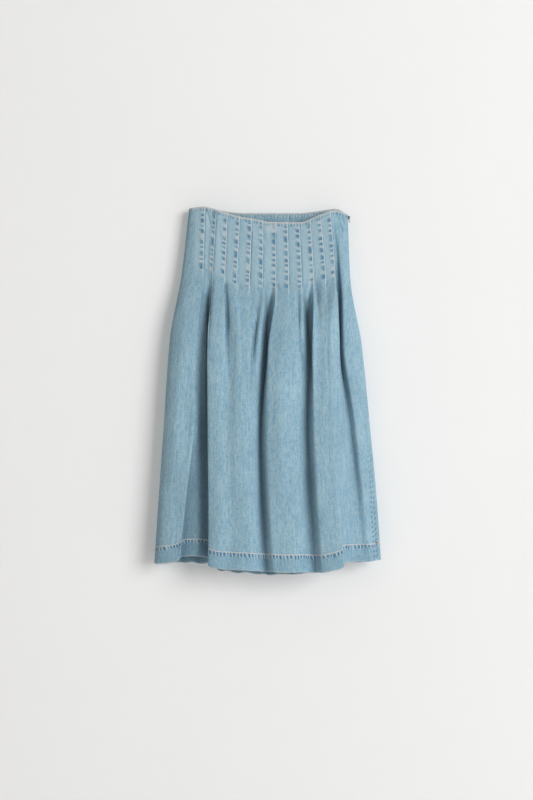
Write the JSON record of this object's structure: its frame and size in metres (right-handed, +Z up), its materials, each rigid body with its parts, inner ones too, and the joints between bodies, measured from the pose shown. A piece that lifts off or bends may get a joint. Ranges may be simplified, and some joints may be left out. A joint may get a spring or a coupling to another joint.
{
  "type": "pleated denim skirt",
  "caption": "Mid-length denim skirt with tucks stitched flat under the waist that open into loose pleats, hanging from its back waist, with a side zip.",
  "frame": {"origin": "midway between the two held points of the back waist edge", "axes": "+Z up, the front faces -Y, +X towards the wearer's left, where the zip is"},
  "size_m": [0.5152, 0.1092, 0.8407],
  "materials": {
    "denim": "washed, worn pale on the fold edges",
    "denim_inside": "the same cloth turned in, less worn",
    "zip_tape": "woven tape",
    "zip_metal": "dulled"
  },
  "bodies": {
    "skirt": {"front_panel": "denim", "back_panel": "denim", "front_hem": "denim_inside", "back_hem": "denim_inside", "back_facing": "denim_inside", "zip_tape": "zip_tape", "zip_slider": "zip_metal"},
    "zip_pull": {"zip_pull": "zip_metal"}
  },
  "joints": [
    {"name": "zip_pull_swing", "type": "hinge", "parent": "skirt", "child": "zip_pull", "pos_m": [0.18316, -0.00438, -0.01877], "axis": [0, -1, 0], "range_deg": [0, 170]}
  ]
}
